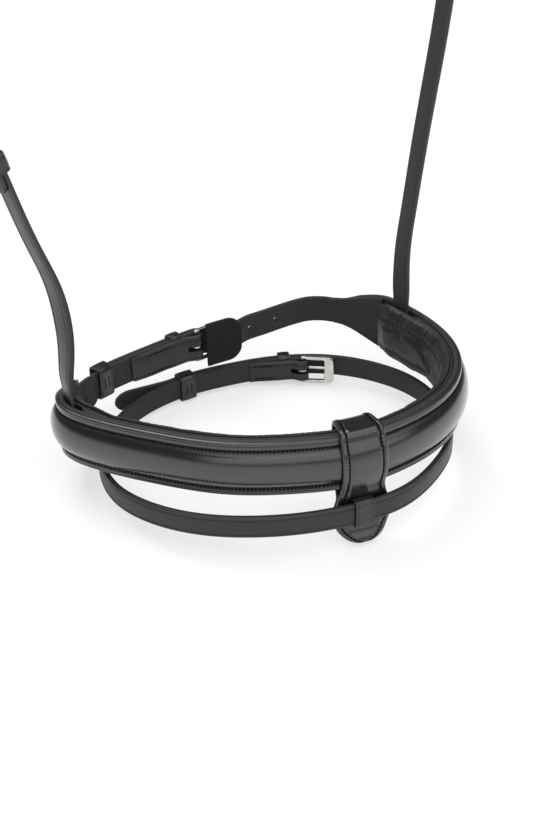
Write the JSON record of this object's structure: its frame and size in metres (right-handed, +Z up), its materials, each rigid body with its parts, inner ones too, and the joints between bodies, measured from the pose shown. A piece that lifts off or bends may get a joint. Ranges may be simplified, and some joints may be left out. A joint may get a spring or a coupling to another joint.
{
  "type": "flash noseband",
  "caption": "Padded leather noseband with a raised roll, chin strap, thin flash strap on a front loop, and a headstrap.",
  "frame": {"origin": "on the floor under the middle of the object's box", "axes": "+Z up along the headstrap, -Y towards the horse's nose front, +X to the side of the right strap root"},
  "size_m": [0.276, 0.1741, 0.4292],
  "materials": {
    "glossy_leather": "glossy",
    "strap_leather": "satin",
    "soft_leather": "matte",
    "foam": "matte",
    "nickel": "satin"
  },
  "bodies": {
    "noseband": {"noseband_base": "strap_leather", "raised_panel": "glossy_leather", "panel_filler": "foam", "noseband_backing": "strap_leather", "pad_lining": "soft_leather", "pad_foam": "foam", "chin_buckle_strap": "strap_leather", "chin_buckle_frame": "nickel", "chin_billet": "strap_leather", "chin_fixed_keeper": "strap_leather", "chin_guard": "soft_leather", "headstrap_root_right": "strap_leather", "headstrap_root_left": "strap_leather"},
    "headstrap": {"headstrap_short": "strap_leather", "headstrap_long": "strap_leather", "head_buckle_frame": "nickel", "head_fixed_keeper": "strap_leather"},
    "loop": {"flash_loop": "strap_leather", "flash_loop_keeper": "strap_leather"},
    "flash_strap": {"flash_strap": "strap_leather", "flash_fixed_keeper": "strap_leather"},
    "flash_buckle": {"flash_buckle_frame": "nickel"},
    "flash_prong": {"flash_buckle_prong": "nickel"},
    "chin_prong": {"chin_buckle_prong": "nickel"},
    "head_prong": {"head_buckle_prong": "nickel"},
    "chin_keeper": {"chin_running_keeper": "strap_leather"},
    "flash_keeper": {"flash_running_keeper": "strap_leather"},
    "head_keeper": {"head_running_keeper": "strap_leather"}
  },
  "joints": [
    {"name": "headstrap_tilt", "type": "hinge", "parent": "noseband", "child": "headstrap", "pos_m": [0.11263, 0.02921, 0.05516], "axis": [-0.9994, 0.0341, -0.0038], "range_deg": [-10, 10]},
    {"name": "loop_slide", "type": "hinge", "parent": "noseband", "child": "loop", "pos_m": [0.03203, 0.00631, 0.04104], "axis": [0, 0.11, 0.9939], "range_deg": [-4, 4]},
    {"name": "flash_strap_slide", "type": "hinge", "parent": "loop", "child": "flash_strap", "pos_m": [0.03226, 0.04185, 0.01138], "axis": [0, 0.0832, 0.9965], "range_deg": [-1, 6]},
    {"name": "chin_keeper_slide", "type": "hinge", "parent": "noseband", "child": "chin_keeper", "pos_m": [-0.02355, -0.03577, 0.0457], "axis": [0, 0.11, 0.9939], "range_deg": [-4, 0]},
    {"name": "flash_keeper_slide", "type": "hinge", "parent": "flash_strap", "child": "flash_keeper", "pos_m": [-0.00209, -0.02406, 0.01688], "axis": [0, 0.0832, 0.9965], "range_deg": [-5, 5]},
    {"name": "head_keeper_slide", "type": "slide", "parent": "headstrap", "child": "head_keeper", "axis": [0.2734, -0.0485, -0.9607], "range_m": [-0.008, 0.008]},
    {"name": "flash_buckle_swing", "type": "hinge", "parent": "flash_strap", "child": "flash_buckle", "pos_m": [0.06377, 0.05656, 0.01015], "axis": [0, -0.0832, -0.9965], "range_deg": [0, 15]},
    {"name": "flash_prong_lift", "type": "hinge", "parent": "flash_buckle", "child": "flash_prong", "pos_m": [0.06377, 0.05656, 0.01015], "axis": [0, 0.0832, 0.9965], "range_deg": [0, 2]},
    {"name": "chin_prong_lift", "type": "hinge", "parent": "noseband", "child": "chin_prong", "pos_m": [0.00392, 0.07814, 0.03309], "axis": [0, 0.11, 0.9939], "range_deg": [0, 2]},
    {"name": "head_prong_lift", "type": "hinge", "parent": "headstrap", "child": "head_prong", "pos_m": [-0.12893, 0.04562, 0.25393], "axis": [0.2062, -0.9753, 0.0788], "range_deg": [0, 2]}
  ]
}
